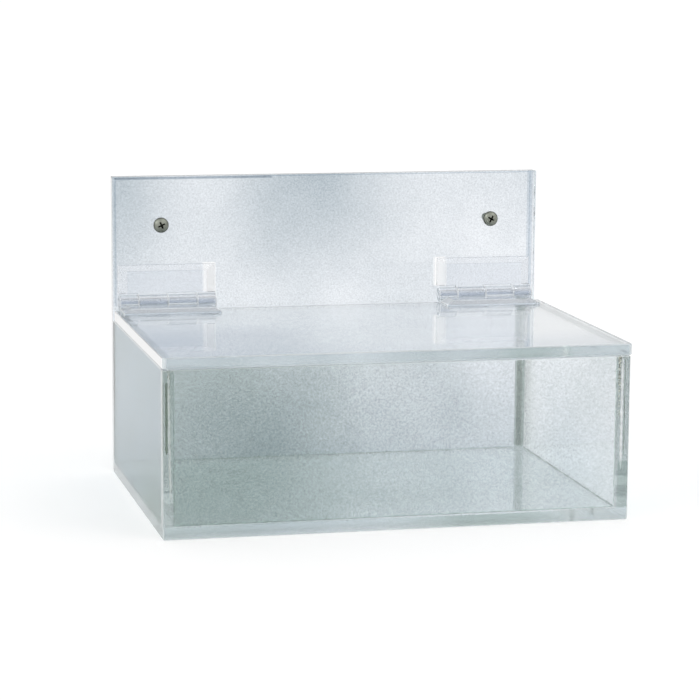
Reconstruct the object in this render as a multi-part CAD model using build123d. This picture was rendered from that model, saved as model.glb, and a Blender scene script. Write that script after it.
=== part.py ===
from build123d import *
import os

os.makedirs("parts", exist_ok=True)

# Wall box for safety glasses: six cemented sheets of clear acrylic, two moulded hinges, two screws.
# Millimetres. The origin is the middle of the underside, the front faces -Y and Z is up.

# Box
width = 228.6                 # side to side, 9 in
depth = 165.1                 # front to back with both panels, 6 1/2 in
wall_top = 80.7               # underside of the box to the top of the front and side walls
back_rise = 69.0              # closed lid to the top of the back panel
sheet = 5.6                   # real thickness of quarter-inch cast acrylic
edge_break = 0.4              # scraped edge, left off where two sheets are cemented

# Lid
lid_seat_gap = 0.3            # air between the walls and the closed lid
lid_extra_width = 1.0         # the lid is cut this much wider than the box and stands out at the right
lid_corner_radius = 2.0       # its corners, seen from above

# Moulded butt hinge: both halves come from one mould
hinge_length = 50.8           # along the pin, 2 in
leaf_reach = 19.05            # pin axis to the far edge of a leaf, half of 1 1/2 in
leaf_thickness = 3.0
leaf_edge = 1.0               # thickness left at the bevelled edges
far_bevel = 3.0               # width of the bevel on the far edge
side_bevel = 4.5              # width of the bevels on the two side edges
barrel_radius = 3.7
axis_offset = 4.0             # pin axis above the face that a leaf is cemented to
end_knuckle = 10.0            # each outer knuckle, the two inner ones share the rest
knuckle_gap = 0.3             # between neighbouring knuckles
relief_gap = 0.7              # between a barrel and the leaf edge that faces it
barrel_fillet = 0.8           # where the top of a leaf runs into its barrel
pin_radius = 1.5
pin_fit = 0.05                # running fit between the pin and its bore
pin_inset = 0.4               # the pin ends this far inside the barrel
pin_chamfer = 0.3
left_hinge_inset = 2.6        # end of the hinge to the left edge of the back panel
right_hinge_inset = 3.9       # end of the hinge to the right edge of the back panel

# Wall screws, number 8 with a pan head and a cross recess
screw_from_side = 25.4        # 1 in
screw_from_top = 25.4         # 1 in
screw_hole_gap = 0.3          # the hole in the back panel lets the thread through with this gap around it
thread_radius = 2.1           # over the crests
neck_radius = 1.75            # plain neck under the head, slimmer than the rolled thread
thread_run_out = 0.6          # cone from the neck out to the thread, which starts where the panel ends
shank_length = 15.9           # under the head, 5/8 in
point_length = 4.0
point_radius = 0.3            # blunt end of the point
head_radius = 3.95
head_height = 2.7
head_side = 1.0               # straight side of the head, below its dome
recess_span = 4.4             # tip to tip of the cross at the top of the head
recess_width = 0.9            # width of its slots there
recess_depth = 1.9
recess_floor_span = 1.5       # the same two sizes at the bottom of the recess
recess_floor_width = 0.4
screw_turns = {"left": 25.0, "right": 62.0}  # degrees that each cross is turned

# Places that follow from the sizes
right_x = width / 2
front_y = -depth / 2
rear_y = depth / 2
back_face_y = rear_y - sheet
lid_bottom = wall_top + lid_seat_gap
lid_top = lid_bottom + sheet
back_height = lid_top + back_rise
pin_y = back_face_y - axis_offset
pin_z = lid_top + axis_offset
hinge_places = {
    "left": -right_x + left_hinge_inset + hinge_length / 2,
    "right": right_x - right_hinge_inset - hinge_length / 2,
}
screw_x = right_x - screw_from_side
screw_places = {"left": -screw_x, "right": screw_x}
screw_z = back_height - screw_from_top


def slab(x_range, y_range, z_range):
    """A plain rectangular sheet between the given limits."""
    ranges = (x_range, y_range, z_range)
    middle = [(low + high) / 2 for low, high in ranges]
    return Pos(*middle) * Box(*[high - low for low, high in ranges])


def scraped(plate, *cemented):
    """The sheet with its edges broken, except round the faces that are cemented."""
    edges = plate.edges()
    for face in cemented:
        edges = edges - face.edges()
    return chamfer(edges, edge_break)


def back_panel():
    """Tall panel at the back, with two clearance holes for the wall screws."""
    plate = scraped(slab((-right_x, right_x), (back_face_y, rear_y), (0, back_height)))
    drill = Plane.XZ * Cylinder(thread_radius + screw_hole_gap, 3 * sheet)
    for x in screw_places.values():
        plate -= Pos(x, (back_face_y + rear_y) / 2, screw_z) * drill
    return plate


def bottom_panel():
    """Floor: the walls stand on it and its rear edge is cemented to the back panel."""
    plate = slab((-right_x, right_x), (front_y, back_face_y), (0, sheet))
    return scraped(plate, plate.faces().sort_by(Axis.Z)[-1], plate.faces().sort_by(Axis.Y)[-1])


def side_panel(side):
    """Side wall between the back and front panels, side is -1 at the left and 1 at the right."""
    across = sorted((side * right_x, side * (right_x - sheet)))
    plate = slab(across, (front_y + sheet, back_face_y), (sheet, wall_top))
    ends = plate.faces().filter_by(Axis.Y)
    return scraped(plate, plate.faces().sort_by(Axis.Z)[0], *ends)


def front_panel():
    """Front wall: it laps the front ends of both sides and stands on the floor."""
    plate = slab((-right_x, right_x), (front_y, front_y + sheet), (sheet, wall_top))
    return scraped(plate, plate.faces().sort_by(Axis.Z)[0], plate.faces().sort_by(Axis.Y)[-1])


def lid_panel():
    """Lid with rounded corners, its rear edge right under the pins so that it clears the walls."""
    lid_width = width + lid_extra_width
    outline = RectangleRounded(lid_width, pin_y - front_y, lid_corner_radius)
    plate = extrude(outline, sheet)
    rims = plate.faces().filter_by(Axis.Z)
    plate = chamfer(rims.edges(), edge_break)
    return Pos(lid_extra_width / 2, (front_y + pin_y) / 2, lid_bottom) * plate


def hinge_half():
    """One moulded half: pin axis on X, leaf towards -Y, cemented face down."""
    base_z = -axis_offset
    top_z = base_z + leaf_thickness
    edge_z = base_z + leaf_edge
    half_length = hinge_length / 2
    inner_knuckle = half_length - end_knuckle
    relief = barrel_radius + relief_gap

    # cross-section of leaf and barrel, in the plane square to the pin
    leaf_points = [
        (0, base_z),
        (-leaf_reach, base_z),
        (-leaf_reach, edge_z),
        (far_bevel - leaf_reach, top_z),
        (0, top_z),
    ]
    section = make_face(Polyline(*leaf_points, close=True)) + Circle(barrel_radius)
    root = (-(barrel_radius**2 - top_z**2) ** 0.5, top_z)
    section = fillet(section.vertices().sort_by_distance(root)[0], barrel_fillet)
    half = extrude(Plane.YZ * section, half_length, both=True)

    # bevels on the two side edges, as far as the root of the barrel
    bevel = make_face(
        Polyline(
            (half_length, edge_z),
            (half_length, top_z),
            (half_length - side_bevel, top_z),
            close=True,
        )
    )
    bevel = Pos(0, -relief) * extrude(Plane.XZ * bevel, leaf_reach)
    half -= bevel
    half -= mirror(bevel, Plane.YZ)

    # room for the two knuckles of the other half, with the gaps beside them
    for start, length in ((-inner_knuckle, inner_knuckle), (inner_knuckle, end_knuckle)):
        room_start = start - knuckle_gap / 2
        room_end = start + length + knuckle_gap / 2
        height = (base_z - axis_offset, axis_offset)
        half -= slab((room_start, room_end), (-relief, 2 * barrel_radius), height)

    bore = Rotation(0, 90, 0) * Cylinder(pin_radius + pin_fit, 2 * hinge_length)
    return half - bore


def hinge_pin():
    """Clear rod with chamfered ends, on X."""
    rod = Cylinder(pin_radius, hinge_length - 2 * pin_inset)
    rod = chamfer(rod.edges().filter_by(GeomType.CIRCLE), pin_chamfer)
    return Rotation(0, 90, 0) * rod


def wall_screw(turn):
    """Screw with its head towards -Y and the underside of the head at the origin."""
    dome_rise = head_height - head_side
    dome_radius = (head_radius**2 + dome_rise**2) / (2 * dome_rise)
    outline = Polyline(
        (0, head_height),
        (0, -shank_length),
        (point_radius, -shank_length),
        (thread_radius, point_length - shank_length),
        (thread_radius, -sheet),
        (neck_radius, thread_run_out - sheet),
        (neck_radius, 0),
        (head_radius, 0),
        (head_radius, head_side),
    )
    dome = RadiusArc(outline @ 1, outline @ 0, -dome_radius)
    body = revolve(Plane.XZ * make_face(outline + dome), Axis.Z)
    mouth = Pos(0, 0, head_height) * Rectangle(recess_span, recess_width)
    floor = Pos(0, 0, head_height - recess_depth) * Rectangle(recess_floor_span, recess_floor_width)
    slot = loft([floor, mouth], ruled=True)
    for angle in (turn, turn + 90):
        body -= Rotation(0, 0, angle) * slot
    return Plane.XZ * body


nodes = {
    "back_panel": back_panel(),
    "bottom_panel": bottom_panel(),
    "left_side_panel": side_panel(-1),
    "right_side_panel": side_panel(1),
    "front_panel": front_panel(),
    "lid_panel": lid_panel(),
}

# The same moulding serves the lid as it is and the back panel when turned half a turn,
# which brings its knuckles between those of the lid's half.
lid_leaf = hinge_half()
wall_leaf = lid_leaf.rotate(Axis((0, 0, 0), (0, -1, 1)), 180)
for side, x in hinge_places.items():
    place = Pos(x, pin_y, pin_z)
    nodes[f"{side}_hinge_lid_leaf"] = place * lid_leaf
    nodes[f"{side}_hinge_wall_leaf"] = place * wall_leaf
    nodes[f"{side}_hinge_pin"] = place * hinge_pin()

for side, x in screw_places.items():
    nodes[f"{side}_mounting_screw"] = Pos(x, back_face_y, screw_z) * wall_screw(screw_turns[side])

for name, solid in nodes.items():
    export_step(solid, f"parts/{name}.step")
    print(name, round(solid.volume, 1))
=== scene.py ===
from math import cos, radians, sin

import bpy
import numpy as np
from mathutils import Matrix, Vector


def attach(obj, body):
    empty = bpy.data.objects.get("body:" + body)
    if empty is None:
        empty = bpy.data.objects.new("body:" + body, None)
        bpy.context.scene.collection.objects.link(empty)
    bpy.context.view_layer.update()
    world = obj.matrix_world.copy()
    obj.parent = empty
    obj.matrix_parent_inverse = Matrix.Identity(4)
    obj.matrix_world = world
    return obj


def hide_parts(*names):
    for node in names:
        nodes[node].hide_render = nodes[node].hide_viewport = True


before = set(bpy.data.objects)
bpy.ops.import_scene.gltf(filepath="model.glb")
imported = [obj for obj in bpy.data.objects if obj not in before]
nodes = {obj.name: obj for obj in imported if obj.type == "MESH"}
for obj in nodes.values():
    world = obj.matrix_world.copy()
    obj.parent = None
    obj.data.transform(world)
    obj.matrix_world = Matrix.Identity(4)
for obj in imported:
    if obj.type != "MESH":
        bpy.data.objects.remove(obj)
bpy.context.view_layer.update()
mm = 0.001
white = (1, 1, 1, 1)
print("frame loaded:", len(nodes), "nodes")

# the sizes of the sheets and hinges that the finishes need, in millimetres
holder = {
    "halfWidth": 114.3,
    "frontY": -82.55,
    "backFaceY": 76.95,
    "wallTop": 80.7,
    "lidTop": 86.6,
    "sheet": 5.6,
    "pinY": 72.95,
    "pinZ": 90.6,
    "leafReach": 19.05,
    "leafRelief": 4.4,
    "halfHinge": 25.4,
    "innerKnuckle": 15.4,
    "hingeX": (-86.3, 85.0),
}


# sRGB hex to linear: c / 12.92 up to 0.04045, else ((c + 0.055) / 1.055) ** 2.4
def linear(code):
    srgb = np.array([int(code[i:i + 2], 16) for i in (1, 3, 5)]) / 255
    low = srgb / 12.92
    high = ((srgb + 0.055) / 1.055) ** 2.4
    return (*np.where(srgb <= 0.04045, low, high).tolist(), 1.0)


# adds a node of the given kind: settings are its properties, ins its inputs, each a value or a socket to link
def addNode(tree, kind, ins=None, **settings):
    node = tree.nodes.new(kind)
    for key, value in settings.items():
        setattr(node, key, value)
    for key, value in (ins or {}).items():
        if isinstance(value, bpy.types.NodeSocket):
            tree.links.new(value, node.inputs[key])
        else:
            node.inputs[key].default_value = value
    return node


# an empty material and its tree
def newMaterial(name):
    material = bpy.data.materials.new(name)
    material.use_nodes = True
    material.node_tree.nodes.clear()
    return material, material.node_tree


# 1 inside any of the boxes, each ((x0, x1), (y0, y1), (z0, z1)) in mm:
# a place is inside where floor(|(p - middle) / half|) has no length
def insideBoxes(tree, place, boxes):
    least = None
    for box in boxes:
        middle = [(a + b) / 2 * mm for a, b in box]
        half = [(b - a) / 2 * mm for a, b in box]
        shifted = addNode(tree, "ShaderNodeVectorMath", {0: place, 1: middle}, operation="SUBTRACT")
        scaled = addNode(tree, "ShaderNodeVectorMath", {0: shifted.outputs[0], 1: half}, operation="DIVIDE")
        folded = addNode(tree, "ShaderNodeVectorMath", {0: scaled.outputs[0]}, operation="ABSOLUTE")
        steps = addNode(tree, "ShaderNodeVectorMath", {0: folded.outputs[0]}, operation="FLOOR")
        length = addNode(tree, "ShaderNodeVectorMath", {
            0: steps.outputs[0],
        }, operation="LENGTH").outputs["Value"]
        if least is None:
            least = length
        else:
            least = addNode(tree, "ShaderNodeMath", {0: least, 1: length}, operation="MINIMUM").outputs[0]
    return addNode(tree, "ShaderNodeMath", {0: least, 1: 0.5}, operation="LESS_THAN").outputs[0]


# faces that solvent cement has joined into one body: light goes through them unbent
thin = 0.02       # mm, half the depth of a mask across its joint
wide = 0.05       # mm that a mask reaches past its joint
scraped = 0.38    # mm of a scraped edge, where nothing is cemented
hw, sheet = holder["halfWidth"], holder["sheet"]
frontY, backY = holder["frontY"], holder["backFaceY"]
insideFrontY = frontY + sheet
onFloor = (sheet - thin, sheet + thin)
atBack = (backY - thin, backY + thin)
atFront = (insideFrontY - thin, insideFrontY + thin)
walls = (sheet - wide, holder["wallTop"] - scraped)
# the joints run out flush to the outside, except on the back panel, whose edges are scraped
flushBands = [(-hw - wide, -hw + sheet + wide), (hw - sheet - wide, hw + wide)]
backBands = [(-hw + scraped, -hw + sheet + wide), (hw - sheet - wide, hw - scraped)]
joints = {
    "floorSides": [(band, (insideFrontY - wide, backY + wide), onFloor) for band in flushBands],
    "floorFront": [((-hw - wide, hw + wide), (frontY - wide, insideFrontY + wide), onFloor)],
    "floorBack": [((-hw + scraped, hw - scraped), atBack, (scraped, sheet + wide))],
    "sidesBack": [(band, atBack, walls) for band in backBands],
    "sidesFront": [(band, atFront, walls) for band in flushBands],
    "wallLeaves": [],
    "lidLeaves": [],
}
for x in holder["hingeX"]:
    half, inner = holder["halfHinge"] + wide, holder["innerKnuckle"]
    atLid = (holder["lidTop"] - thin, holder["lidTop"] + thin)
    near, far = holder["leafRelief"] - wide, holder["leafReach"] + wide
    # the whole leaf, then the two feet that reach in under its own knuckles
    for start, end, low, high in (
        (-half, half, near, far),
        (-inner, 0, 0, near),
        (inner, half, 0, near),
    ):
        zRange = (holder["pinZ"] + low, holder["pinZ"] + high)
        joints["wallLeaves"].append(((x + start, x + end), atBack, zRange))
        yRange = (holder["pinY"] - high, holder["pinY"] - low)
        joints["lidLeaves"].append(((x - end, x - start), yRange, atLid))


# the shader, but where the named joints are cemented light goes straight through, tinted
def joinedThrough(tree, place, shader, jointNames, tint):
    boxes = [box for joint in jointNames for box in joints[joint]]
    if not boxes:
        return shader
    joined = addNode(tree, "ShaderNodeBsdfTransparent", {"Color": tint})
    return addNode(tree, "ShaderNodeMixShader", {
        0: insideBoxes(tree, place, boxes), 1: shader.outputs[0], 2: joined.outputs[0],
    })


# clear plastic lets light by to what it shades: a tinted opening for shadow rays
def lettingLightBy(tree, clear, tint):
    opening = addNode(tree, "ShaderNodeBsdfTransparent", {"Color": linear(tint)})
    path = addNode(tree, "ShaderNodeLightPath")
    return addNode(tree, "ShaderNodeMixShader", {
        0: path.outputs["Is Shadow Ray"], 1: clear.outputs[0], 2: opening.outputs[0],
    })


squareOn = 0.95    # a face leans where its normal's largest share along X, Y or Z is under this


# 1 on a face that leans, as a scraped edge or a bevel does
def leaningFaces(tree, facing):
    level = addNode(tree, "ShaderNodeMath", {
        0: facing.outputs["X"], 1: facing.outputs["Y"],
    }, operation="MAXIMUM")
    most = addNode(tree, "ShaderNodeMath", {0: level.outputs[0], 1: facing.outputs["Z"]}, operation="MAXIMUM")
    return addNode(tree, "ShaderNodeMath", {
        0: most.outputs[0], 1: squareOn,
    }, operation="LESS_THAN").outputs[0]


# cast acrylic sheet, saw-cut and scraped: clear with a faint blue-grey cast, a veil of fine dust and rubbing
# marks, whitish where its edges were scraped, and deeper and greener where one looks along it through an
# edge;
# soft spots of painted shade darken its faces and edges
castAcrylic = {
    "edge": "#f0f3f7",
    "edgeDeepAndPaintedShade": "#b0beb8",
    "depthColour": "#e7eeed",
    "depthDensity": 7.0,    # with that colour, half the light is left after about 0.6 m
    "ior": 1.49,
    "roughness": 0.02,
    "veil": 0.08,
    "dustSpread": (0.3, 1.7),       # least and most dust, as shares of the veil
    # whiteness of the cut edges that face along Y and Z, those along X have one for each sheet
    "sawnVeil": {"Y": 0.12, "Z": 0.08},
    "grain": 0.85,          # mm, real dust is finer than the render shows
    "grainContrast": 0.12,
    "clouds": 60.0,         # mm
    "cloudShare": (-0.12, 0.25),    # how far clouds of dust pale and deepen the cast
    "handledRoughness": 0.05,
    "streakLength": 30.0,   # mm
    "streakWidth": 0.35,    # mm
    "sawPitch": 0.9,        # mm
    "sawDepth": 0.02,       # mm
    "ripple": 14.0,         # mm
    "rippleDepth": 0.004,   # mm
    "shadow": "#f3f6f7",
}


# a base value plus the sum of share * smoothstep(1 - distance / radius) over the spots, each with its centre,
# radius and share, in mm
def spotField(tree, place, spots, base):
    total = base
    for centre, radius, share in spots:
        away = addNode(tree, "ShaderNodeVectorMath", {
            0: place, 1: [c * mm for c in centre],
        }, operation="DISTANCE")
        spot = addNode(tree, "ShaderNodeMapRange", {
            "Value": away.outputs["Value"], "From Max": radius * mm, "To Min": share, "To Max": 0.0,
        }, interpolation_type="SMOOTHSTEP")
        total = addNode(tree, "ShaderNodeMath", {0: total, 1: spot.outputs[0]}, operation="ADD").outputs[0]
    return total


def acrylicSheet(name, sheetLook, look=castAcrylic):
    material, tree = newMaterial(name)
    coordinate = addNode(tree, "ShaderNodeTexCoord")
    place = coordinate.outputs["Object"]
    folded = addNode(tree, "ShaderNodeVectorMath", {0: coordinate.outputs["Normal"]}, operation="ABSOLUTE")
    facing = addNode(tree, "ShaderNodeSeparateXYZ", {0: folded.outputs[0]})
    isEdge = addNode(tree, "ShaderNodeMath", {0: facing.outputs[sheetLook["axis"]], 1: 0.5},
                     operation="LESS_THAN").outputs[0]
    isScraped = leaningFaces(tree, facing)

    # a colour Mix node's sockets go by number: 6 and 7 in, 2 out
    clouds = addNode(tree, "ShaderNodeTexNoise", {
        "Vector": place, "Scale": 1000 / look["clouds"], "Detail": 2.0,
    })
    paler, deeper = look["cloudShare"]
    cloudFac = addNode(tree, "ShaderNodeMapRange", {
        "Value": clouds.outputs["Fac"], "From Min": 0.3, "From Max": 0.7, "To Min": paler, "To Max": deeper,
    }).outputs[0]
    grain = addNode(tree, "ShaderNodeTexNoise", {
        "Vector": place, "Scale": 1000 / look["grain"], "Detail": 1.0,
    })
    # the cast deepens with the clouds of dust and with the spots of painted shade
    face = addNode(tree, "ShaderNodeMix", {
        "Factor": spotField(tree, place, sheetLook["paintedShadeAt"], cloudFac),
        6: linear(sheetLook["cast"]), 7: linear(sheetLook["castDeepAndPaintedShade"]),
    }, data_type="RGBA")
    # the edges deepen the same way, with their own spots of painted shade
    edge = addNode(tree, "ShaderNodeMix", {
        "Factor": spotField(tree, place, sheetLook.get("edgePaintedShadeAt", []), cloudFac),
        6: linear(look["edge"]), 7: linear(look["edgeDeepAndPaintedShade"]),
    }, data_type="RGBA")
    tint = addNode(tree, "ShaderNodeMix", {"Factor": isEdge, 6: face.outputs[2], 7: edge.outputs[2]},
                   data_type="RGBA")
    speck = addNode(tree, "ShaderNodeMapRange", {
        "Value": grain.outputs["Fac"], "From Min": 0.35, "From Max": 0.65,
        "To Min": 1 - look["grainContrast"], "To Max": 1 + look["grainContrast"],
    })
    dusted = addNode(tree, "ShaderNodeVectorMath", {0: tint.outputs[2], 1: speck.outputs[0]},
                     operation="MULTIPLY").outputs[0]
    # behind the leaves' bright bevels the sheet is left without its cast, a painted highlight
    if "paintedHighlightAt" in sheetLook:
        dusted = addNode(tree, "ShaderNodeMix", {
            "Factor": insideBoxes(tree, place, sheetLook["paintedHighlightAt"]), 6: dusted, 7: white,
        }, data_type="RGBA").outputs[2]
    # patches of painted shade: each colour multiplies the cast inside its boxes
    for paintedShadeColour, boxes in sheetLook.get("paintedShadePatches", {}).items():
        paintedShadeMix = addNode(tree, "ShaderNodeMix", {
            "Factor": insideBoxes(tree, place, boxes), 6: white, 7: linear(paintedShadeColour),
        }, data_type="RGBA")
        dusted = addNode(tree, "ShaderNodeVectorMath", {0: dusted, 1: paintedShadeMix.outputs[2]},
                         operation="MULTIPLY").outputs[0]

    # rubbing marks: noise drawn out along X and squeezed across it
    squeeze = (1000 / look["streakLength"], 1000 / look["streakWidth"], 1000 / look["streakWidth"])
    drawn = addNode(tree, "ShaderNodeVectorMath", {0: place, 1: squeeze}, operation="MULTIPLY")
    rubbed = addNode(tree, "ShaderNodeTexNoise", {"Vector": drawn.outputs[0], "Scale": 1.0, "Detail": 1.0})
    marks = addNode(tree, "ShaderNodeMapRange", {
        "Value": rubbed.outputs["Fac"], "From Min": 0.66, "From Max": 0.76, "To Max": look["veil"],
    })
    dust = addNode(tree, "ShaderNodeMapRange", {
        "Value": grain.outputs["Fac"], "From Min": 0.3, "From Max": 0.7,
        "To Min": look["dustSpread"][0] * look["veil"], "To Max": look["dustSpread"][1] * look["veil"],
    })
    faceVeil = addNode(tree, "ShaderNodeMath", {0: dust.outputs[0], 1: marks.outputs[0]}, operation="ADD")
    sawn = addNode(tree, "ShaderNodeVectorMath", {
        0: folded.outputs[0], 1: (sheetLook["sawnVeilX"], look["sawnVeil"]["Y"], look["sawnVeil"]["Z"]),
    }, operation="DOT_PRODUCT")
    edgeWhiteness = addNode(tree, "ShaderNodeMix", {
        "Factor": isEdge, "A": faceVeil.outputs[0], "B": sawn.outputs["Value"],
    })
    allVeil = addNode(tree, "ShaderNodeMix", {
        "Factor": isScraped, "A": edgeWhiteness.outputs[0], "B": sheetLook["scrapedVeil"],
    })
    # the more veil, the whiter
    bleached = addNode(tree, "ShaderNodeMix", {
        "Factor": allVeil.outputs[0], 6: dusted, 7: white,
    }, data_type="RGBA")
    # dust and saw marks lie on the outside: light that is already in the sheet is guided on without them
    inside = addNode(tree, "ShaderNodeNewGeometry").outputs["Backfacing"]
    outside = addNode(tree, "ShaderNodeMath", {0: 1.0, 1: inside}, operation="SUBTRACT")
    veil = addNode(tree, "ShaderNodeMath", {
        0: allVeil.outputs[0], 1: outside.outputs[0],
    }, operation="MULTIPLY")
    clearness = addNode(tree, "ShaderNodeMath", {0: 1.0, 1: veil.outputs[0]}, operation="SUBTRACT")
    handled = addNode(tree, "ShaderNodeMapRange", {
        "Value": clouds.outputs["Fac"], "From Min": 0.4, "From Max": 0.7,
        "To Min": look["roughness"], "To Max": look["handledRoughness"],
    })

    # faces ripple faintly as cast sheet does, cut edges carry the saw's marks
    ripples = addNode(tree, "ShaderNodeTexNoise", {
        "Vector": place, "Scale": 1000 / look["ripple"], "Detail": 1.0,
    })
    ripple = addNode(tree, "ShaderNodeBump", {
        "Height": ripples.outputs["Fac"], "Distance": look["rippleDepth"] * mm,
    })
    along = addNode(tree, "ShaderNodeVectorMath", {0: place, 1: (1, 1, 1)}, operation="DOT_PRODUCT")
    phase = addNode(tree, "ShaderNodeMath", {0: along.outputs["Value"], 1: 1000 / look["sawPitch"]},
                    operation="MULTIPLY")
    saw = addNode(tree, "ShaderNodeTexNoise", {"W": phase.outputs[0], "Scale": 1.0, "Detail": 1.0},
                  noise_dimensions="1D")
    sawHeight = addNode(tree, "ShaderNodeMath", {0: saw.outputs["Fac"], 1: isEdge}, operation="MULTIPLY")
    relief = addNode(tree, "ShaderNodeBump", {
        "Height": sawHeight.outputs[0], "Distance": look["sawDepth"] * mm, "Normal": ripple.outputs[0],
    })

    clear = addNode(tree, "ShaderNodeBsdfPrincipled", {
        "Base Color": bleached.outputs[2], "Roughness": handled.outputs[0], "IOR": look["ior"],
        "Transmission Weight": clearness.outputs[0], "Normal": relief.outputs[0],
    })
    shader = lettingLightBy(tree, clear, look["shadow"])
    # where a leaf is cemented on, the face keeps half of its cast, as one interface of the two does
    halfCast = tuple(c ** 0.5 for c in linear(sheetLook["cast"]))
    # behind the bright bevels the painted highlight leaves the joint without cast too
    if "paintedHighlightAt" in sheetLook:
        halfCast = addNode(tree, "ShaderNodeMix", {
            "Factor": insideBoxes(tree, place, sheetLook["paintedHighlightAt"]), 6: halfCast, 7: white,
        }, data_type="RGBA").outputs[2]
    for jointColour, jointNames in ((white, sheetLook["joints"]), (halfCast, sheetLook["leaves"])):
        shader = joinedThrough(tree, place, shader, jointNames, jointColour)
    depth = addNode(tree, "ShaderNodeVolumeAbsorption", {
        "Color": linear(look["depthColour"]), "Density": look["depthDensity"],
    })
    addNode(tree, "ShaderNodeOutputMaterial", {"Surface": shader.outputs[0], "Volume": depth.outputs[0]})
    return material


# each sheet: the axis it faces, its cast where pale and where deep, how white its scraped edges and its cut
# edges across X are, the spots of painted shade on it and on its edges (centre, radius and share, in mm), the
# boxes of painted shade and those left without cast as a painted highlight, and its cemented joints
sheets = {
    "back_panel": {
        "axis": "Y", "cast": "#e9edf2", "castDeepAndPaintedShade": "#a9b6bf", "scrapedVeil": 0.1, "sawnVeilX": 0.85,
        "paintedShadeAt": [((-8, 80, 156), 80, 0.9), ((-124, 80, 135), 75, 0.85), ((95, 80, 156), 60, 0.35),
                   ((-45, 80, 0), 106, 0.95), ((75, 80, 10), 80, 0.55)],
        "edgePaintedShadeAt": [((-20, 80, 156), 130, 1.2)],
        # painted shadows: a green stripe at the back right corner, grey lines beside the side edges and along
        # the top edge
        "paintedShadePatches": {
            "#6b8073": [((104.6, 108.6), (70, 84), (6, 80.8))],
            "#c9d3dc": [((110.3, 112.2), (70, 84), (88, 156)), ((-112.9, -112.3), (70, 84), (88, 155)),
                        ((-30, 113), (70, 84), (154.7, 155.3))],
            "#b2bdc7": [((-113, -30), (70, 84), (153.9, 155.3))],
        },
        "paintedHighlightAt": [((-66.6, -60.0), (70, 84), (94.5, 110)), ((58.6, 65.0), (70, 84), (94.5, 110))],
        "joints": ["floorBack", "sidesBack"], "leaves": ["wallLeaves"],
    },
    "bottom_panel": {
        "axis": "Z", "cast": "#e8eef0", "castDeepAndPaintedShade": "#ccd8d6", "scrapedVeil": 0.5, "sawnVeilX": 0.3,
        "paintedShadeAt": [((-80, -20, 3), 180, 1.0)],
        "edgePaintedShadeAt": [((42, -82, 3), 62, 1.0), ((-105, -82, 3), 60, 0.6)],
        "joints": ["floorSides", "floorFront", "floorBack"], "leaves": [],
    },
    # the left side is a shaded copy of the right: its darker cast is painted shade
    "left_side_panel": {
        "axis": "X", "cast": "#abbdc6", "castDeepAndPaintedShade": "#9dafa9", "scrapedVeil": 0.8, "sawnVeilX": 0.75,
        "paintedShadeAt": [((-112, -80, -10), 75, 1.3), ((-112, -20, -15), 55, 1.0)],
        "joints": ["floorSides", "sidesBack", "sidesFront"], "leaves": [],
    },
    "right_side_panel": {
        "axis": "X", "cast": "#f4f6f8", "castDeepAndPaintedShade": "#e6ebef", "scrapedVeil": 0.8, "sawnVeilX": 0.75,
        "paintedShadeAt": [((112, 0, 0), 80, 0.9)],
        "joints": ["floorSides", "sidesBack", "sidesFront"], "leaves": [],
    },
    "front_panel": {
        "axis": "Y", "cast": "#f3f5f7", "castDeepAndPaintedShade": "#c3cdc9", "scrapedVeil": 0.35, "sawnVeilX": 0.45,
        "paintedShadeAt": [((-114, -80, 45), 165, 1.1)],
        # a grey-green patch of painted shade, low at the right end
        "paintedShadePatches": {"#b9c8c2": [((108.7, 114.0), (-84, -76), (6.0, 29))]},
        "joints": ["floorFront", "sidesFront"], "leaves": [],
    },
    "lid_panel": {
        "axis": "Z", "cast": "#f5f7f9", "castDeepAndPaintedShade": "#c6ced9", "scrapedVeil": 0.45, "sawnVeilX": 0.97,
        "paintedShadeAt": [((-110, -40, 84), 95, 0.9), ((70, -75, 84), 55, 0.6)],
        "edgePaintedShadeAt": [((64, -82, 84), 38, 1.0)],
        "joints": [], "leaves": ["lidLeaves"],
    },
}


def dress(nodeName, material):
    mesh = nodes[nodeName].data
    mesh.materials.clear()
    mesh.materials.append(material)


for nodeName, sheetLook in sheets.items():
    dress(nodeName, acrylicSheet("castAcrylic_" + nodeName, sheetLook))
print("sheets dressed")

# moulded acrylic: water clear but wavy from the mould, with painted highlights and painted shade on its
# rounded edges, hazy bevels, and a painted highlight on the side bevels that face the holder's middle
mouldedAcrylic = {
    "cast": "#e6e9ee",
    "ior": 1.49,
    "roughness": 0.04,
    "veil": 0.05,
    "dustSpread": (0.4, 1.6),   # least and most dust, as shares of the veil
    # a painted highlight on the side bevels that face the holder's middle
    "paintedBevelHighlight": 0.4,        # on the side bevels that face the middle of the holder
    "slantVeil": 0.22,          # on every bevel
    "bevelLean": 0.4,           # share along X of a side bevel's normal, which leans 24 degrees
    # painted highlight and painted shade on the rounded edges
    "edgeWhiteness": 1.0,
    "roundPaintedShade": "#8e98a2",
    "edgeRound": 0.5,     # mm
    "grain": 0.6,         # mm
    "flow": 4.0,          # mm
    "flowDepth": 0.06,    # mm
    "shadow": "#eef2f4",
}


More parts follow.
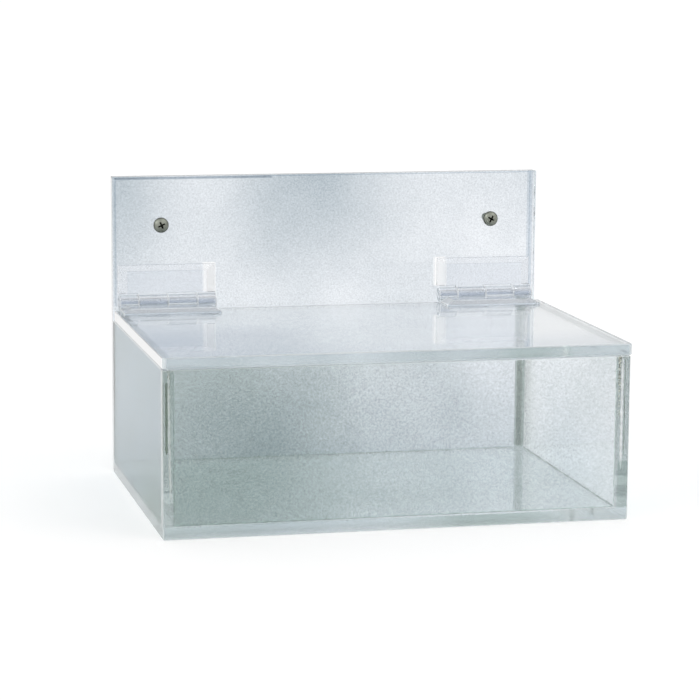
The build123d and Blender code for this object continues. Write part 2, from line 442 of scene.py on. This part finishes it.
def acrylicMoulding(name, jointNames, look=mouldedAcrylic):
    material, tree = newMaterial(name)
    coordinate = addNode(tree, "ShaderNodeTexCoord")
    place = coordinate.outputs["Object"]
    folded = addNode(tree, "ShaderNodeVectorMath", {0: coordinate.outputs["Normal"]}, operation="ABSOLUTE")
    facing = addNode(tree, "ShaderNodeSeparateXYZ", {0: folded.outputs[0]})
    geometry = addNode(tree, "ShaderNodeNewGeometry")
    grain = addNode(tree, "ShaderNodeTexNoise", {
        "Vector": place, "Scale": 1000 / look["grain"], "Detail": 2.0,
    })
    flow = addNode(tree, "ShaderNodeTexNoise", {"Vector": place, "Scale": 1000 / look["flow"], "Detail": 2.0})
    rounded = addNode(tree, "ShaderNodeBevel", {"Radius": look["edgeRound"] * mm}, samples=6)
    bend = addNode(tree, "ShaderNodeVectorMath", {0: rounded.outputs[0], 1: geometry.outputs["Normal"]},
                   operation="DOT_PRODUCT")
    isRound = addNode(tree, "ShaderNodeMapRange", {
        "Value": bend.outputs["Value"], "From Min": 0.995, "From Max": 0.955,
    })
    # painted highlights on rounded edges that run upwards or round a barrel, painted shade on those along X
    roundNormal = addNode(tree, "ShaderNodeVectorMath", {0: rounded.outputs[0]}, operation="ABSOLUTE")
    roundWay = addNode(tree, "ShaderNodeSeparateXYZ", {0: roundNormal.outputs[0]})
    paintedHighlightShare = addNode(tree, "ShaderNodeMapRange", {
        "Value": roundWay.outputs["X"], "From Min": 0.1, "From Max": 0.3, "To Max": look["edgeWhiteness"],
    })
    paintedHighlightEdge = addNode(tree, "ShaderNodeMath", {0: isRound.outputs[0], 1: paintedHighlightShare.outputs[0]},
                         operation="MULTIPLY")
    paintedShadeEdge = addNode(tree, "ShaderNodeMath", {0: isRound.outputs[0], 1: paintedHighlightEdge.outputs[0]},
                       operation="SUBTRACT", use_clamp=True)
    # a side bevel faces the holder's middle where its normal's X and its place's X have unlike signs; those
    # bevels get a painted highlight
    leaning = addNode(tree, "ShaderNodeMath", {
        0: facing.outputs["X"], 1: look["bevelLean"], 2: 0.1,
    }, operation="COMPARE")
    across = addNode(tree, "ShaderNodeSeparateXYZ", {0: place})
    lean = addNode(tree, "ShaderNodeSeparateXYZ", {0: coordinate.outputs["Normal"]})
    outwards = addNode(tree, "ShaderNodeMath", {
        0: across.outputs["X"], 1: lean.outputs["X"],
    }, operation="MULTIPLY")
    inwards = addNode(tree, "ShaderNodeMath", {0: outwards.outputs[0], 1: 0.0}, operation="LESS_THAN")
    lit = addNode(tree, "ShaderNodeMath", {
        0: leaning.outputs[0], 1: inwards.outputs[0],
    }, operation="MULTIPLY")
    paintedBevelHighlightVeil = addNode(tree, "ShaderNodeMath", {
        0: lit.outputs[0], 1: look["paintedBevelHighlight"],
    }, operation="MULTIPLY")
    slantVeil = addNode(tree, "ShaderNodeMath", {0: leaningFaces(tree, facing), 1: look["slantVeil"]},
                        operation="MULTIPLY")
    hazeAndPaintedHighlight = addNode(tree, "ShaderNodeMath", {
        0: paintedBevelHighlightVeil.outputs[0], 1: slantVeil.outputs[0],
    }, operation="MAXIMUM")
    dusty = addNode(tree, "ShaderNodeMapRange", {
        "Value": grain.outputs["Fac"], "From Min": 0.3, "From Max": 0.7,
        "To Min": look["dustSpread"][0] * look["veil"], "To Max": look["dustSpread"][1] * look["veil"],
    })
    whiter = addNode(tree, "ShaderNodeMath", {
        0: hazeAndPaintedHighlight.outputs[0], 1: paintedHighlightEdge.outputs[0],
    }, operation="MAXIMUM")
    # the veil carries the painted highlights as well as the haze and dust
    allVeil = addNode(tree, "ShaderNodeMath", {0: whiter.outputs[0], 1: dusty.outputs[0]}, operation="ADD")
    outside = addNode(tree, "ShaderNodeMath", {
        0: 1.0, 1: geometry.outputs["Backfacing"],
    }, operation="SUBTRACT")
    veil = addNode(tree, "ShaderNodeMath", {
        0: allVeil.outputs[0], 1: outside.outputs[0],
    }, operation="MULTIPLY")
    clearness = addNode(tree, "ShaderNodeMath", {0: 1.0, 1: veil.outputs[0]}, operation="SUBTRACT")
    wavy = addNode(tree, "ShaderNodeBump", {
        "Height": flow.outputs["Fac"], "Distance": look["flowDepth"] * mm, "Normal": rounded.outputs[0],
    })
    # painted shade: rounded edges along X take the darker cast
    paintedShadeCast = addNode(tree, "ShaderNodeMix", {
        "Factor": paintedShadeEdge.outputs[0], 6: linear(look["cast"]), 7: linear(look["roundPaintedShade"]),
    }, data_type="RGBA")
    bleached = addNode(tree, "ShaderNodeMix", {
        "Factor": allVeil.outputs[0], 6: paintedShadeCast.outputs[2], 7: white,
    }, data_type="RGBA")
    clear = addNode(tree, "ShaderNodeBsdfPrincipled", {
        "Base Color": bleached.outputs[2], "Roughness": look["roughness"], "IOR": look["ior"],
        "Transmission Weight": clearness.outputs[0], "Normal": wavy.outputs[0],
    })
    shader = lettingLightBy(tree, clear, look["shadow"])
    shader = joinedThrough(tree, place, shader, jointNames, white)
    addNode(tree, "ShaderNodeOutputMaterial", {"Surface": shader.outputs[0]})
    return material


wallLeafLook = acrylicMoulding("mouldedAcrylic_wall_leaf", ["wallLeaves"])
lidLeafLook = acrylicMoulding("mouldedAcrylic_lid_leaf", ["lidLeaves"])
pinLook = acrylicMoulding("mouldedAcrylic_pin", [])
for side in ("left", "right"):
    dress(side + "_hinge_wall_leaf", wallLeafLook)
    dress(side + "_hinge_lid_leaf", lidLeafLook)
    dress(side + "_hinge_pin", pinLook)
print("hinges dressed")


# the faces of a closed part turned right side out by the sign of its volume:
# one sixth of the sum of a . (b x c) over the triangles of each face, fanned from its first corner
def rightSideOut(places, faces):
    volume = 0.0
    for group in faces:
        for k in range(1, group.shape[1] - 1):
            a, b, c = places[group[:, 0]], places[group[:, k]], places[group[:, k + 1]]
            volume += np.einsum("ij,ij->", a, np.cross(b, c)) / 6
    return [group[:, ::-1] for group in faces] if volume < 0 else faces


# several loose closed parts, each a pair of places and faces, put together into one mesh
def gathered(parts):
    places, faces, first = [], [], 0
    for partPlaces, partFaces in parts:
        places.append(partPlaces)
        faces.extend([group + first for group in rightSideOut(partPlaces, partFaces)])
        first += len(partPlaces)
    return np.concatenate(places), faces


# a mesh piece from its loose closed parts, with places in mm
def closedPiece(name, parts, material, body):
    places, faces = gathered(parts)
    mesh = bpy.data.meshes.new(name)
    mesh.from_pydata((places * mm).tolist(), [], [face for group in faces for face in group.tolist()])
    mesh.materials.append(material)
    mesh.update()
    piece = bpy.data.objects.new(name, mesh)
    bpy.context.scene.collection.objects.link(piece)
    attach(piece, body)
    return piece


# quads between rows of equal length, row i joined to row i + 1, each row a closed loop
def bandFaces(rows):
    near, far = rows[:-1], rows[1:]
    ahead = np.roll(rows, -1, axis=1)
    return np.stack([near, ahead[:-1], ahead[1:], far], axis=-1).reshape(-1, 4)


# pan-head wood screw, zinc-plated steel gone dull: soft grey sheen, with painted shade down in the cross
# recess and round the rim of the head
screw = {
    "places": {"left": (-88.9, 25.0), "right": (88.9, 62.0)},   # X in mm and the turn of the cross in degrees
    "z": 130.2,
    "headRadius": 3.95,
    "headHeight": 2.7,
    "headSide": 1.0,
    "rimRound": 0.25,
    "recessSpan": 2.2,
    "recessFloorSpan": 0.75,
    "recessHalfWidth": 0.45,
    "recessFloorHalfWidth": 0.2,
    "recessDepth": 1.9,
    "neckRadius": 1.75,
    "rootRadius": 1.42,
    "crestRadius": 2.1,
    "pitch": 1.41,
    "ridgeShare": 0.42,
    "shankLength": 15.9,
    "pointLength": 4.0,
    "pointRadius": 0.3,
    "colour": "#9b9e94",
    # the colour of the painted shade in the recess and round the rim
    "recessPaintedShade": "#2c2e27",
    "roughness": (0.4, 0.65),
    "mottle": 0.9,            # mm
    "mottleShade": (0.75, 1.2),
    "pitDepth": 0.03,         # mm
    "paintedShadeDepth": 0.1,        # of the recess's depth, where its colour is full
    "rimPaintedShadeShare": 0.75,       # of the recess's colour at the rim
    "paintedShadeFrom": 0.8,         # of the head's radius, where the painted shade at the rim starts
    "rootTip": 0.7,           # the thread's root at the point, of the point's radius
    "runIn": 0.8,             # of a turn, in which the thread rises
    "neckRunOut": 0.6,
    "shankRings": 90,
    "pointRings": 26,
    "sharpAngle": 35.0,       # degrees
}


def platedSteel(name, look=screw):
    material, tree = newMaterial(name)
    place = addNode(tree, "ShaderNodeTexCoord").outputs["Object"]
    mottle = addNode(tree, "ShaderNodeTexNoise", {
        "Vector": place, "Scale": 1000 / look["mottle"], "Detail": 3.0,
    })
    # hollow: the share of painted shade, down in the cross recess and round the rim
    hollow = addNode(tree, "ShaderNodeAttribute", attribute_name="hollow")
    colour = addNode(tree, "ShaderNodeMix", {
        "Factor": hollow.outputs["Fac"], 6: linear(look["colour"]), 7: linear(look["recessPaintedShade"]),
    }, data_type="RGBA")
    darkest, palest = look["mottleShade"]
    shade = addNode(tree, "ShaderNodeMapRange", {
        "Value": mottle.outputs["Fac"], "To Min": darkest, "To Max": palest,
    })
    mottled = addNode(tree, "ShaderNodeVectorMath", {
        0: colour.outputs[2], 1: shade.outputs[0],
    }, operation="MULTIPLY")
    smoothest, roughest = look["roughness"]
    rough = addNode(tree, "ShaderNodeMapRange", {
        "Value": mottle.outputs["Fac"], "To Min": smoothest, "To Max": roughest,
    })
    pits = addNode(tree, "ShaderNodeBump", {
        "Height": mottle.outputs["Fac"], "Distance": look["pitDepth"] * mm,
    })
    metal = addNode(tree, "ShaderNodeBsdfPrincipled", {
        "Base Color": mottled.outputs[0], "Metallic": 1.0, "Roughness": rough.outputs[0],
        "Normal": pits.outputs[0],
    })
    addNode(tree, "ShaderNodeOutputMaterial", {"Surface": metal.outputs[0]})
    return material


# head: a square grid over the recess, whose height is the dome or, where they are lower, the walls of two
# crossed tapering slots; then loops of the grid's rim carried down: r(z) of head and neck, and on the shank
# r = root + (crest - root) * ridge(z / pitch - angle / turn), faded out at both ends
def screwSurface(look, turn):
    # grid lines in mm, closer where the walls of the slots stand
    steps = np.array([0, 0.1, 0.2, 0.29, 0.38, 0.45, 0.6, 0.75, 1.1, 1.5, 1.9, 2.2, 2.36, 2.5])
    line = np.concatenate([-steps[:0:-1], steps])
    count = len(line)
    x, y = np.meshgrid(line, line, indexing="ij")
    domeRise = look["headHeight"] - look["headSide"]
    domeRadius = (look["headRadius"] ** 2 + domeRise ** 2) / (2 * domeRise)
    drop = domeRadius - look["headHeight"]

    def dome(radius):
        return np.sqrt(domeRadius ** 2 - radius ** 2) - drop

    def slotDepth(across, lengthwise):
        mouth, floor = look["recessHalfWidth"], look["recessFloorHalfWidth"]
        wall = (mouth - np.abs(across)) / (mouth - floor)
        end = (look["recessSpan"] - np.abs(lengthwise)) / (look["recessSpan"] - look["recessFloorSpan"])
        return np.clip(np.minimum(wall, end), 0, 1)

    depth = np.maximum(slotDepth(x, y), slotDepth(y, x))
    top = dome(np.hypot(x, y))
    height = np.minimum(top, look["headHeight"] - look["recessDepth"] * depth)
    patch = np.stack([x, y, height], axis=-1).reshape(-1, 3)
    hollowness = np.clip((top - height) / (look["paintedShadeDepth"] * look["recessDepth"]), 0, 1).ravel()
    index = np.arange(count * count).reshape(count, count)
    patchFaces = np.stack([index[:-1, :-1], index[:-1, 1:], index[1:, 1:], index[1:, :-1]], axis=-1)

    rim = np.concatenate([index[:-1, 0], index[-1, :-1], index[:0:-1, -1], index[0, :0:-1]])
    angle = np.arctan2(patch[rim, 1], patch[rim, 0])
    square = np.hypot(patch[rim, 0], patch[rim, 1])
    # loops that turn the square rim of the grid into a circle
    ease = np.array([0.3, 0.6, 0.85, 1.0])[:, None]
    side = look["headRadius"] - look["rimRound"]
    crown = square * (1 - ease) + side * ease
    crownHeight = dome(crown)

    # edge of the head rounded over, its underside, and the neck as far as the back of the panel
    sheet, neck = holder["sheet"], look["neckRadius"]
    edge = look["headRadius"]
    below = dome(np.array(side)) - 0.35
    profile = np.array([
        (edge - 0.06, below + 0.12), (edge, below - 0.12),
        (edge, 0.2), (edge - 0.08, 0.05), (edge - 0.2, 0.0),
        (neck + 0.05, 0.0), (neck, -0.05), (neck, look["neckRunOut"] - sheet),
    ])
    run = np.linspace(-sheet, look["pointLength"] - look["shankLength"], look["shankRings"])
    tip = np.linspace(run[-1], -look["shankLength"], look["pointRings"])[1:]
    along = np.concatenate([run, tip])
    narrowing = np.clip((along + look["shankLength"]) / look["pointLength"], 0, 1)
    crest = look["pointRadius"] + (look["crestRadius"] - look["pointRadius"]) * narrowing
    rootTip = look["pointRadius"] * look["rootTip"]
    root = rootTip + (look["rootRadius"] - rootTip) * narrowing
    turnShare = (along[:, None] / look["pitch"] - angle[None, :] / (2 * np.pi)) % 1
    ridge = np.clip(1 - np.abs(turnShare - 0.5) / (look["ridgeShare"] / 2), 0, 1)
    starting = np.clip((-sheet - along[:, None]) / (look["runIn"] * look["pitch"]), 0, 1)
    shank = root[:, None] + (crest - root)[:, None] * ridge * starting
    neckLoops = np.repeat(profile[:, :1], len(rim), axis=1)
    radius = np.concatenate([crown, neckLoops, shank])
    level = np.concatenate([crownHeight, np.repeat(profile[:, 1:], len(rim), axis=1),
                            np.repeat(along[:, None], len(rim), axis=1)])
    loops = np.stack([radius * np.cos(angle), radius * np.sin(angle), level], axis=-1)
    first = count * count
    rows = np.concatenate([rim[None], first + np.arange(radius.size).reshape(radius.shape)])
    end = np.array([[0, 0, -look["shankLength"]]])
    places = np.concatenate([patch, loops.reshape(-1, 3), end])
    last = rows[-1]
    cap = np.stack([last, np.roll(last, -1), np.full(len(last), len(places) - 1)], axis=-1)
    # painted shade: down in the cross, and round the rim
    outwards = (radius / edge - look["paintedShadeFrom"]) / (1 - look["paintedShadeFrom"])
    rimPaintedShade = look["rimPaintedShadeShare"] * np.clip(outwards, 0, 1) * (level > -0.1)
    shade = np.concatenate([hollowness, rimPaintedShade.ravel(), [0]])
    c, d = cos(radians(turn)), sin(radians(turn))
    turned = places @ np.array([(c, d, 0), (-d, c, 0), (0, 0, 1)])
    # head towards -Y: across stays X, up becomes Z, out of the head is -Y
    places = np.stack([turned[:, 0], -turned[:, 2], turned[:, 1]], axis=-1)
    return places, [patchFaces.reshape(-1, 4), bandFaces(rows), cap], shade


screwSteel = platedSteel("platedSteel_screw")
for side, (x, turn) in screw["places"].items():
    places, faces, hollowness = screwSurface(screw, turn)
    places = places + (x, holder["backFaceY"], screw["z"])
    nodeName = side + "_mounting_screw"
    piece = closedPiece(side + "_threaded_screw", [(places, faces)], screwSteel, "box")
    hollow = piece.data.attributes.new("hollow", "FLOAT", "POINT")
    hollow.data.foreach_set("value", hollowness.astype(np.float32))
    piece.data.shade_smooth()
    piece.data.set_sharp_from_angle(angle=radians(screw["sharpAngle"]))
    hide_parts(nodeName)
print("screws made")

# solvent cement: a thin bead squeezed out along each inner corner, uneven, with bubbles caught in the joints
cement = {
    "cast": "#dfe8e4",
    "ior": 1.49,
    "clearness": 0.92,
    "roughness": (0.03, 0.09),
    "mottleScale": 700.0,    # per m
    "shadow": "#eef2f0",
    "legs": (0.25, 0.85),    # mm, least and most width of the bead
    "swell": 7.0,            # mm between swellings
    "waves": (1.0, 2.3, 0.61),   # lengths of the waves that make them, as shares of that
    "taper": 1.5,            # mm in which a bead thins out at its ends
    "leastWidth": 0.15,      # share of its width left there
    "gap": 0.02,             # mm off the sheets
    "step": 0.8,             # mm along the bead
    "bubbleRadius": (0.15, 0.4),     # mm
    "bubbleFlatness": (0.35, 0.7),
    "bubbleCrowding": 1.5,
    "bubbleScatter": 0.45,           # as a share of a row's spread
    "bubbleLeast": 0.45,             # size at the foot of a row, as a share of that at its top
    "bubbleRoughness": 0.15,
    "bubbleClearness": 0.15,
    "bubbleMix": 0.8,        # mm
    # the bubbles' painted shade and painted highlight
    "bubblePaintedShade": "#4b4f3b",
    "bubblePaintedHighlight": "#fbf9e6",
    # x, spread, y, lowest and highest z in mm, and how many
    "bubbleRows": [
        (110.1, 0.75, insideFrontY, 46, 80, 230),
        (-110.6, 0.9, insideFrontY, 60, 80, 30),
        (110.8, 1.4, backY, 20, 80, 60),
        (-110.8, 1.4, backY, 20, 80, 60),
    ],
    # colour, clearness, and bars of x, y, lowest and highest z, half width and drift at the foot in mm
    "seams": {
        "pale": ("#ffffff", 0.05, [
            (111.55, insideFrontY, 24, 80, 0.5, 0.0), (-110.8, insideFrontY, 18, 80, 0.4, 0.8),
            (113.3, backY, 30, 80, 0.3, 0.0),
        ]),
        "green": ("#8fa292", 0.5, [
            (-111.9, insideFrontY, 40, 75, 0.55, 0.0), (112.9, insideFrontY, 30, 80, 0.18, 0.0),
        ]),
    },
    "seamScale": 450.0,          # of their patches, per m
    "seamDullest": 0.4,          # least clearness, as a share of the seam's own
    "seamRoughness": 0.3,
    "seamWobble": 0.12,          # mm
    "seamHalfThickness": 0.02,   # mm
    "seed": 11,
}
random = np.random.default_rng(cement["seed"])


def clearCement(name, look=cement):
    material, tree = newMaterial(name)
    place = addNode(tree, "ShaderNodeTexCoord").outputs["Object"]
    cloud = addNode(tree, "ShaderNodeTexNoise", {
        "Vector": place, "Scale": look["mottleScale"], "Detail": 2.0,
    })
    smoothest, roughest = look["roughness"]
    rough = addNode(tree, "ShaderNodeMapRange", {
        "Value": cloud.outputs["Fac"], "To Min": smoothest, "To Max": roughest,
    })
    clear = addNode(tree, "ShaderNodeBsdfPrincipled", {
        "Base Color": linear(look["cast"]), "Roughness": rough.outputs[0], "IOR": look["ior"],
        "Transmission Weight": look["clearness"],
    })
    shader = lettingLightBy(tree, clear, look["shadow"])
    addNode(tree, "ShaderNodeOutputMaterial", {"Surface": shader.outputs[0]})
    return material


# smooth uneven width: three sines of random phase over the length s, summed and brought to 0..1
def swelling(s, look=cement):
    waves = sum(np.sin(2 * np.pi * s / (look["swell"] * share) + random.uniform(0, 6.3))
                for share in look["waves"])
    return 0.5 + waves / 6


# bead in a corner: from start to end, legs w(s) along the two ways out of the corner, hollow face
# a(1 - t)^2 + b t^2 between their tips with a and b the legs
def cementBead(start, end, wayA, wayB, look=cement):
    start, end, wayA, wayB = (np.array(v, float) for v in (start, end, wayA, wayB))
    length = np.linalg.norm(end - start)
    s = np.linspace(0, length, max(4, int(length / look["step"])))
    low, high = look["legs"]
    width = low + (high - low) * swelling(s)
    width = width * np.clip(np.minimum(s, length - s) / look["taper"], look["leastWidth"], 1)
    t = np.linspace(0, 1, 6)
    a = np.concatenate([[0], (1 - t) ** 2])
    b = np.concatenate([[0], t ** 2])
    spine = start + (s / length)[:, None] * (end - start) + look["gap"] * (wayA + wayB)
    places = spine[:, None] + width[:, None, None] * (a[None, :, None] * wayA + b[None, :, None] * wayB)
    rows = np.arange(places.shape[0] * places.shape[1]).reshape(places.shape[:2])
    return places.reshape(-1, 3), [bandFaces(rows), rows[:1, ::-1], rows[-1:]]


# both ends of each bead and its two ways out of the corner; they stop short of each other and of the top
insideX = hw - sheet
off = 0.3
low, high = sheet + off, holder["wallTop"] - 1.0
cornerBeads = []
for x, out in ((-insideX, 1), (insideX, -1)):
    cornerBeads.append(((x, insideFrontY, low), (x, insideFrontY, high), (out, 0, 0), (0, 1, 0)))
    cornerBeads.append(((x, backY, low), (x, backY, high), (out, 0, 0), (0, -1, 0)))
    cornerBeads.append(((x, insideFrontY + off, sheet), (x, backY - off, sheet), (out, 0, 0), (0, 0, 1)))
for y, out in ((insideFrontY, 1), (backY, -1)):
    cornerBeads.append(((off - insideX, y, sheet), (insideX - off, y, sheet), (0, out, 0), (0, 0, 1)))
cementLook = clearCement("solventCement_bead")
closedPiece("cement_beads", [cementBead(*bead) for bead in cornerBeads], cementLook, "box")


# small balls flattened along Y: r (cos u sin v, flat cos v, sin u sin v), each with its own place and size
def bubbleCloud(centres, radii, flats, rings=4, around=8):
    v = np.pi * np.arange(1, rings + 1) / (rings + 1)
    u = 2 * np.pi * np.arange(around) / around
    ring = np.stack([np.outer(np.sin(v), np.cos(u)), np.outer(np.sin(v), np.sin(u)),
                     np.outer(np.cos(v), np.ones(around))], axis=-1).reshape(-1, 3)
    unit = np.concatenate([ring, [(0, 0, 1), (0, 0, -1)]])
    shaped = unit[None] * np.stack([radii, radii, radii * flats], axis=-1)[:, None]
    places = centres[:, None] + shaped[..., [0, 2, 1]]
    rows = np.arange(rings * around).reshape(rings, around)
    top, bottom = rings * around, rings * around + 1
    caps = np.concatenate([
        np.stack([np.roll(rows[0], -1), rows[0], np.full(around, top)], axis=-1),
        np.stack([rows[-1], np.roll(rows[-1], -1), np.full(around, bottom)], axis=-1),
    ])
    starts = (np.arange(len(centres)) * len(unit))[:, None, None]
    sides, ends = bandFaces(rows)[None] + starts, caps[None] + starts
    return places.reshape(-1, 3), [sides.reshape(-1, 4), ends.reshape(-1, 3)]


# caught air: painted shade in dark brown-green and painted highlight in pale yellow-white, mixed by noise so
# that they differ from bubble to bubble
def caughtAir(name, look=cement):
    material, tree = newMaterial(name)
    place = addNode(tree, "ShaderNodeTexCoord").outputs["Object"]
    mixed = addNode(tree, "ShaderNodeTexNoise", {
        "Vector": place, "Scale": 1000 / look["bubbleMix"], "Detail": 1.0,
    })
    share = addNode(tree, "ShaderNodeMapRange", {
        "Value": mixed.outputs["Fac"], "From Min": 0.42, "From Max": 0.62,
    })
    colour = addNode(tree, "ShaderNodeMix", {
        "Factor": share.outputs[0], 6: linear(look["bubblePaintedShade"]), 7: linear(look["bubblePaintedHighlight"]),
    }, data_type="RGBA")
    body = addNode(tree, "ShaderNodeBsdfPrincipled", {
        "Base Color": colour.outputs[2], "Roughness": look["bubbleRoughness"], "IOR": look["ior"],
        "Transmission Weight": look["bubbleClearness"],
    })
    addNode(tree, "ShaderNodeOutputMaterial", {"Surface": body.outputs[0]})
    return material


clouds = []
for x, spread, y, low, high, count in cement["bubbleRows"]:
    # crowded towards the top of the row, and smaller down it
    up = high - (high - low) * random.uniform(0, 1, count) ** cement["bubbleCrowding"]
    across = x + spread * random.normal(0, cement["bubbleScatter"], count)
    least = cement["bubbleLeast"]
    sizes = random.uniform(*cement["bubbleRadius"], count) * (least + (1 - least) * (up - low) / (high - low))
    centres = np.stack([across, np.full(count, y), up], axis=-1)
    clouds.append(bubbleCloud(centres, sizes, random.uniform(*cement["bubbleFlatness"], count)))
closedPiece("cement_bubbles", clouds, caughtAir("caughtAir_bubble"), "box")


# dry seams: strips of a joint that the solvent didn't reach, where light is thrown back
def drySeam(name, colour, clearness, look=cement):
    material, tree = newMaterial(name)
    place = addNode(tree, "ShaderNodeTexCoord").outputs["Object"]
    patchy = addNode(tree, "ShaderNodeTexNoise", {"Vector": place, "Scale": look["seamScale"], "Detail": 2.0})
    clear = addNode(tree, "ShaderNodeMapRange", {
        "Value": patchy.outputs["Fac"], "From Min": 0.35, "From Max": 0.65,
        "To Min": look["seamDullest"] * clearness, "To Max": clearness,
    })
    body = addNode(tree, "ShaderNodeBsdfPrincipled", {
        "Base Color": linear(colour), "Roughness": look["seamRoughness"], "IOR": look["ior"],
        "Transmission Weight": clear.outputs[0],
    })
    addNode(tree, "ShaderNodeOutputMaterial", {"Surface": body.outputs[0]})
    return material


# flat bar up a joint: middle x + wobble(z), half width 0.6 to 1.4 times the given one, ends drawn to a point
def seamBar(x, y, low, high, halfWidth, drift, look=cement):
    z = np.linspace(low, high, int((high - low) / look["step"]))
    share = (z - low) / (high - low)
    middle = x + drift * (1 - share) ** 2 + look["seamWobble"] * (swelling(z) - 0.5)
    half = halfWidth * (0.6 + 0.8 * swelling(z)) * np.clip(np.minimum(share, 1 - share) / 0.05, 0.1, 1)
    thick = look["seamHalfThickness"]
    corners = np.array([(-1, 0), (0, -thick), (1, 0), (0, thick)])
    places = np.stack([
        middle[:, None] + half[:, None] * corners[:, 0],
        np.broadcast_to(y + corners[:, 1], (len(z), 4)),
        np.broadcast_to(z[:, None], (len(z), 4)),
    ], axis=-1)
    rows = np.arange(len(z) * 4).reshape(-1, 4)
    return places.reshape(-1, 3), [bandFaces(rows), rows[:1, ::-1], rows[-1:]]


for tone, (colour, clearness, bars) in cement["seams"].items():
    seamLook = drySeam("drySeam_" + tone, colour, clearness)
    closedPiece("dry_seams_" + tone, [seamBar(*bar) for bar in bars], seamLook, "box")
print("cement made")

# camera: the photograph's place and direction, worked out from the box's edges
view = {
    "place": (-0.31265, -1.30890, 0.29081),
    "yaw": 13.2015,
    "pitch": -9.1565,
    "roll": 0.3725,
    "focalPixels": 2710.0,
    "framePixels": 700.0,
    "sensorWidth": 36.0,    # mm
    "clip": (0.05, 60.0),   # m
}
yaw, pitch, roll = (radians(view[key]) for key in ("yaw", "pitch", "roll"))
forward = Vector((sin(yaw) * cos(pitch), cos(yaw) * cos(pitch), sin(pitch)))
level = Vector((cos(yaw), -sin(yaw), 0))
upright = level.cross(forward)
right = level * cos(roll) + upright * sin(roll)
up = upright * cos(roll) - level * sin(roll)
cameraData = bpy.data.cameras.new("camera")
cameraData.sensor_width = view["sensorWidth"]
cameraData.lens = view["focalPixels"] * cameraData.sensor_width / view["framePixels"]
cameraData.clip_start, cameraData.clip_end = view["clip"]
camera = bpy.data.objects.new("camera", cameraData)
turn = Matrix((right, up, -forward)).transposed().to_4x4()
camera.matrix_world = Matrix.Translation(view["place"]) @ turn
scene = bpy.context.scene
scene.collection.objects.link(camera)
scene.camera = camera
scene.view_settings.view_transform = "Standard"
print("camera placed")

# studio: pale floor, white surroundings that glass and metal also show, and two large soft lamps
studio = {
    "floorColour": "#e6e6e6",
    "floorHalf": 14.0,     # m
    "floorDrop": 0.2,      # mm under the holder's underside, so that no two faces lie in one plane
    "backgroundLift": 0.24,
    "roomStrength": 0.72,
    "mirroredShare": 0.5,      # how far a gloss shows the white background instead of the room's own light
    "darkAbove": (0.3, 0.62),  # sine of the height where the ceiling starts and is full
    "ceiling": 0.62,           # its share of the walls' light
    "lampSpread": 25.0,    # degrees
    # where each soft lamp stands and its strength
    "lamps": {"soft_key": ((-0.9, -0.45, 0.7), 1.05), "soft_fill": ((0.75, -0.6, 0.95), 0.5)},
    # light goes round inside the sheets many times before it comes out of an edge
    "bounces": 32,
}


# how far a ray shows the background: in full when straight from the camera or through something clear, and
# by the given share when mirrored
def showsBackground(tree, mirroredShare):
    path = addNode(tree, "ShaderNodeLightPath")
    mirrored = addNode(tree, "ShaderNodeMath", {
        0: path.outputs["Is Glossy Ray"], 1: mirroredShare,
    }, operation="MULTIPLY")
    straight = addNode(tree, "ShaderNodeMath", {
        0: path.outputs["Is Camera Ray"], 1: path.outputs["Is Transmission Ray"],
    }, operation="MAXIMUM")
    return addNode(tree, "ShaderNodeMath", {
        0: mirrored.outputs[0], 1: straight.outputs[0],
    }, operation="MAXIMUM").outputs[0]


reach = studio["floorHalf"]
corners = np.array([(-reach, -reach), (reach, -reach), (reach, reach), (-reach, reach)])
floorMesh = bpy.data.meshes.new("floor")
floorMesh.from_pydata([(x, y, -studio["floorDrop"] * mm) for x, y in corners], [], [(0, 1, 2, 3)])
floor = bpy.data.objects.new("floor", floorMesh)
scene.collection.objects.link(floor)
floorPaint, tree = newMaterial("matt_white_paint")
matt = addNode(tree, "ShaderNodeBsdfDiffuse", {"Color": linear(studio["floorColour"])})
lift = addNode(tree, "ShaderNodeMath", {
    0: showsBackground(tree, 0.0), 1: studio["backgroundLift"],
}, operation="MULTIPLY")
glow = addNode(tree, "ShaderNodeEmission", {"Strength": lift.outputs[0]})
floorSum = addNode(tree, "ShaderNodeAddShader", {0: matt.outputs[0], 1: glow.outputs[0]})
addNode(tree, "ShaderNodeOutputMaterial", {"Surface": floorSum.outputs[0]})
floorMesh.materials.append(floorPaint)

world = bpy.data.worlds.new("studio")
world.use_nodes = True
world.node_tree.nodes.clear()
worldTree = world.node_tree
direction = addNode(worldTree, "ShaderNodeTexCoord").outputs["Generated"]
upwards = addNode(worldTree, "ShaderNodeSeparateXYZ", {0: direction})
low, high = studio["darkAbove"]
ceiling = addNode(worldTree, "ShaderNodeMapRange", {
    "Value": upwards.outputs["Z"], "From Min": low, "From Max": high,
    "To Min": 1.0, "To Max": studio["ceiling"],
}, interpolation_type="SMOOTHSTEP")
worldPath = addNode(worldTree, "ShaderNodeLightPath")
# the camera's own view of the room stays white all round
seen = addNode(worldTree, "ShaderNodeMath", {0: ceiling.outputs[0], 1: worldPath.outputs["Is Camera Ray"]},
               operation="MAXIMUM")
strength = addNode(worldTree, "ShaderNodeMapRange", {
    "Value": showsBackground(worldTree, studio["mirroredShare"]),
    "To Min": studio["roomStrength"], "To Max": seen.outputs[0],
})
room = addNode(worldTree, "ShaderNodeBackground", {"Color": white, "Strength": strength.outputs[0]})
addNode(worldTree, "ShaderNodeOutputWorld", {"Surface": room.outputs[0]})
scene.world = world

for lampName, (lampFrom, lampStrength) in studio["lamps"].items():
    lampData = bpy.data.lights.new(lampName, "SUN")
    lampData.angle = radians(studio["lampSpread"])
    lampData.energy = lampStrength
    lamp = bpy.data.objects.new(lampName, lampData)
    lamp.rotation_euler = Vector(lampFrom).to_track_quat("Z", "Y").to_euler()
    scene.collection.objects.link(lamp)
scene.cycles.max_bounces = studio["bounces"]
scene.cycles.transmission_bounces = studio["bounces"]
scene.cycles.glossy_bounces = studio["bounces"]
print("studio lit")
